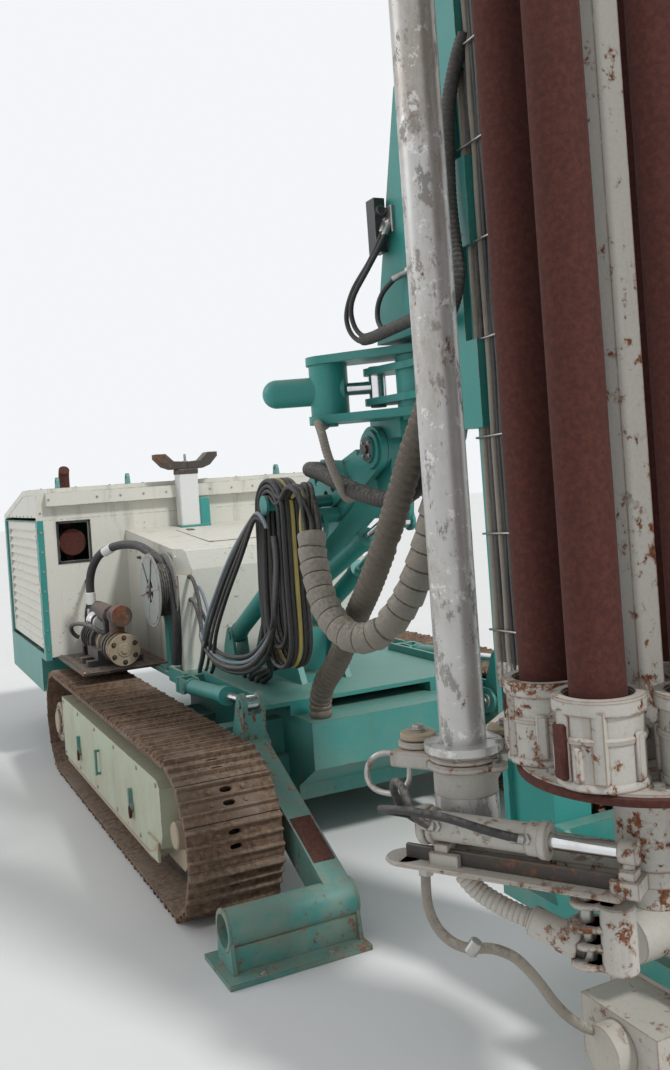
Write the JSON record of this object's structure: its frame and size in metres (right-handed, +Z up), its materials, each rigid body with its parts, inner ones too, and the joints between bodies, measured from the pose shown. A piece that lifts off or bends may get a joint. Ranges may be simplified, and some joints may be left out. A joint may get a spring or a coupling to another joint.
{
  "type": "crawler pile drilling rig",
  "caption": "Tracked pile drilling rig: rear engine housing, lifting boom, slewing mast with rotary head and clamp, side magazine of steel casings, front outriggers.",
  "frame": {"origin": "on the ground, under the middle of the machine's overall length and width", "axes": "+X forward to the mast, +Y to the machine's left, +Z up"},
  "size_m": [6.8378, 2.424, 6.455],
  "materials": {
    "teal_paint": "chipped satin",
    "cream_paint": "satin, chipped",
    "cover_paint": "dusty satin",
    "track_steel": "rusty and dusty",
    "dark_steel": "dirty",
    "bare_steel": "worn",
    "chrome_rod": "polished",
    "rusty_steel": "rusty",
    "chipped_grey": "chipped with rust",
    "silver_tube": "stained",
    "black_paint": "satin",
    "hose_rubber": "satin",
    "sleeve_wrap": "dusty"
  },
  "bodies": {
    "chassis": {"track_right": "track_steel", "track_left": "track_steel", "track_frames": "cover_paint", "sprockets": "dark_steel", "idlers": "dark_steel", "rollers": "dark_steel", "track_covers": "cover_paint", "cover_fittings": "teal_paint", "carbody": "teal_paint", "deck": "teal_paint", "engine_housing": "teal_paint", "housing_front": "cream_paint", "housing_roof": "cream_paint", "lifting_eyes": "teal_paint", "engine_block": "dark_steel", "exhaust": "rusty_steel", "hood": "cream_paint", "mast_rest": "black_paint", "mud_pump": "dark_steel", "pump_motor": "black_paint", "pump_skid": "dark_steel", "reel_bracket": "teal_paint", "boom_foot": "teal_paint"},
    "door_right": {"side_door_right": "cream_paint"},
    "door_left": {"side_door_left": "cream_paint"},
    "reel": {"hose_reel": "bare_steel"},
    "boom": {"boom": "teal_paint", "hose_hanger": "teal_paint", "hose_hank": "hose_rubber", "sleeve_hoses": "sleeve_wrap"},
    "lift_barrels": {"lift_barrels": "teal_paint"},
    "lift_rods": {"lift_rods": "chrome_rod"},
    "tilt_barrel": {"tilt_barrel": "teal_paint"},
    "tilt_rod": {"tilt_rod": "chrome_rod"},
    "swivel": {"swivel_head": "teal_paint"},
    "slew_barrel": {"slew_barrel": "teal_paint"},
    "slew_rod": {"slew_rod": "chrome_rod"},
    "holder": {"mast_holder": "teal_paint", "mast_lamp": "black_paint"},
    "mast": {"mast_beam": "teal_paint", "mast_foot": "teal_paint", "mast_brackets": "chipped_grey", "mast_hoses": "hose_rubber", "feed_chain": "dark_steel", "clamp_block": "chipped_grey"},
    "head": {"rotary_head": "teal_paint"},
    "spindle": {"spindle": "bare_steel"},
    "magazine": {"swing_tube": "silver_tube", "magazine_arms": "chipped_grey", "index_cylinder": "chipped_grey"},
    "carousel": {"carousel": "chipped_grey", "casings": "rusty_steel"},
    "outrigger_right": {"outrigger_right": "teal_paint"},
    "outrigger_left": {"outrigger_left": "teal_paint"},
    "rigger_barrel_right": {"rigger_barrel_right": "teal_paint"},
    "rigger_barrel_left": {"rigger_barrel_left": "teal_paint"},
    "rigger_rod_right": {"rigger_rod_right": "chrome_rod"},
    "rigger_rod_left": {"rigger_rod_left": "chrome_rod"}
  },
  "joints": [
    {"name": "boom_lift", "type": "hinge", "parent": "chassis", "child": "boom", "pos_m": [-0.1, -0.1, 1.3], "axis": [0, 1, 0], "range_deg": [-20, 15]},
    {"name": "mast_tilt", "type": "hinge", "parent": "boom", "child": "swivel", "pos_m": [1.1195, -0.1, 1.87906], "axis": [0, -1, 0], "range_deg": [-10, 90], "deforming": ["sleeve_hoses", "hose_hank"]},
    {"name": "mast_slew", "type": "hinge", "parent": "swivel", "child": "holder", "pos_m": [1.3995, -0.1, 2.14406], "axis": [0, 0, 1], "range_deg": [-12, 12]},
    {"name": "mast_slide", "type": "slide", "parent": "holder", "child": "mast", "axis": [0, 0, -1], "range_m": [-0.9, 0]},
    {"name": "head_feed", "type": "slide", "parent": "mast", "child": "head", "axis": [0, 0, 1], "range_m": [-2.9, 0.7]},
    {"name": "spindle_spin", "type": "hinge", "parent": "head", "child": "spindle", "pos_m": [2.86, -0.1, 4.7], "axis": [0, 0, 1], "continuous": true},
    {"name": "magazine_swing", "type": "hinge", "parent": "mast", "child": "magazine", "pos_m": [2.66, -0.8, 0.9], "axis": [0, 0, 1], "range_deg": [0, 41.6]},
    {"name": "carousel_spin", "type": "hinge", "parent": "magazine", "child": "carousel", "pos_m": [3.08234, -0.53609, 1], "axis": [0, 0, 1], "continuous": true},
    {"name": "door_right_hinge", "type": "hinge", "parent": "chassis", "child": "door_right", "pos_m": [-1.904, -1.183, 1.1], "axis": [0, 0, 1], "range_deg": [0, 100]},
    {"name": "door_left_hinge", "type": "hinge", "parent": "chassis", "child": "door_left", "pos_m": [-1.904, 1.183, 1.1], "axis": [0, 0, -1], "range_deg": [0, 100]},
    {"name": "reel_spin", "type": "hinge", "parent": "chassis", "child": "reel", "pos_m": [-0.8, -0.68, 1.18], "axis": [0, 1, 0], "continuous": true},
    {"name": "outrigger_right_fold", "type": "hinge", "parent": "chassis", "child": "outrigger_right", "pos_m": [0.64, -0.7, 0.56], "axis": [0, -1, 0], "range_deg": [0, 50]},
    {"name": "outrigger_left_fold", "type": "hinge", "parent": "chassis", "child": "outrigger_left", "pos_m": [0.64, 0.7, 0.56], "axis": [0, -1, 0], "range_deg": [0, 50]},
    {"name": "lift_barrel_swing", "type": "hinge", "parent": "chassis", "child": "lift_barrels", "pos_m": [-0.46, -0.1, 0.905], "axis": [0, 1, 0], "range_deg": [-30, 30]},
    {"name": "lift_rod_slide", "type": "slide", "parent": "lift_barrels", "child": "lift_rods", "axis": [0.8861, 0, 0.4635], "range_m": [-0.15, 0.15]},
    {"name": "tilt_barrel_swing", "type": "hinge", "parent": "boom", "child": "tilt_barrel", "pos_m": [0.21162, -0.1, 1.22657], "axis": [0, -1, 0], "range_deg": [-10, 10]},
    {"name": "tilt_rod_slide", "type": "slide", "parent": "tilt_barrel", "child": "tilt_rod", "axis": [0.9252, 0, 0.3796], "range_m": [-0.1, 0.45]},
    {"name": "slew_barrel_swing", "type": "hinge", "parent": "swivel", "child": "slew_barrel", "pos_m": [1.0895, -0.38, 2.14406], "axis": [0, 0, 1], "range_deg": [-25, 25]},
    {"name": "slew_rod_slide", "type": "slide", "parent": "slew_barrel", "child": "slew_rod", "axis": [0.4755, 0.8797, 0], "range_m": [-0.1, 0.1]},
    {"name": "rigger_right_barrel_swing", "type": "hinge", "parent": "chassis", "child": "rigger_barrel_right", "pos_m": [-0.23, -0.7, 0.7], "axis": [0, -1, 0], "range_deg": [-10, 10]},
    {"name": "rigger_right_rod_slide", "type": "slide", "parent": "rigger_barrel_right", "child": "rigger_rod_right", "axis": [0.9972, 0, 0.0751], "range_m": [-0.25, 0.02]},
    {"name": "rigger_left_barrel_swing", "type": "hinge", "parent": "chassis", "child": "rigger_barrel_left", "pos_m": [-0.23, 0.7, 0.7], "axis": [0, -1, 0], "range_deg": [-10, 10]},
    {"name": "rigger_left_rod_slide", "type": "slide", "parent": "rigger_barrel_left", "child": "rigger_rod_left", "axis": [0.9972, 0, 0.0751], "range_m": [-0.25, 0.02]}
  ],
  "couplings": [
    {"joint": "lift_barrel_swing", "follows": "boom_lift", "ratio": 0.6293},
    {"joint": "lift_rod_slide", "follows": "boom_lift", "m_per_rad": -0.1685},
    {"joint": "tilt_barrel_swing", "follows": "mast_tilt", "ratio": 0.05},
    {"joint": "tilt_rod_slide", "follows": "mast_tilt", "m_per_rad": 0.23807},
    {"joint": "slew_barrel_swing", "follows": "mast_slew", "ratio": -0.86408},
    {"joint": "slew_rod_slide", "follows": "mast_slew", "m_per_rad": -0.13376},
    {"joint": "rigger_right_barrel_swing", "follows": "outrigger_right_fold", "ratio": -0.023395},
    {"joint": "rigger_right_rod_slide", "follows": "outrigger_right_fold", "m_per_rad": -0.21063},
    {"joint": "rigger_left_barrel_swing", "follows": "outrigger_left_fold", "ratio": -0.023395},
    {"joint": "rigger_left_rod_slide", "follows": "outrigger_left_fold", "m_per_rad": -0.21063}
  ]
}
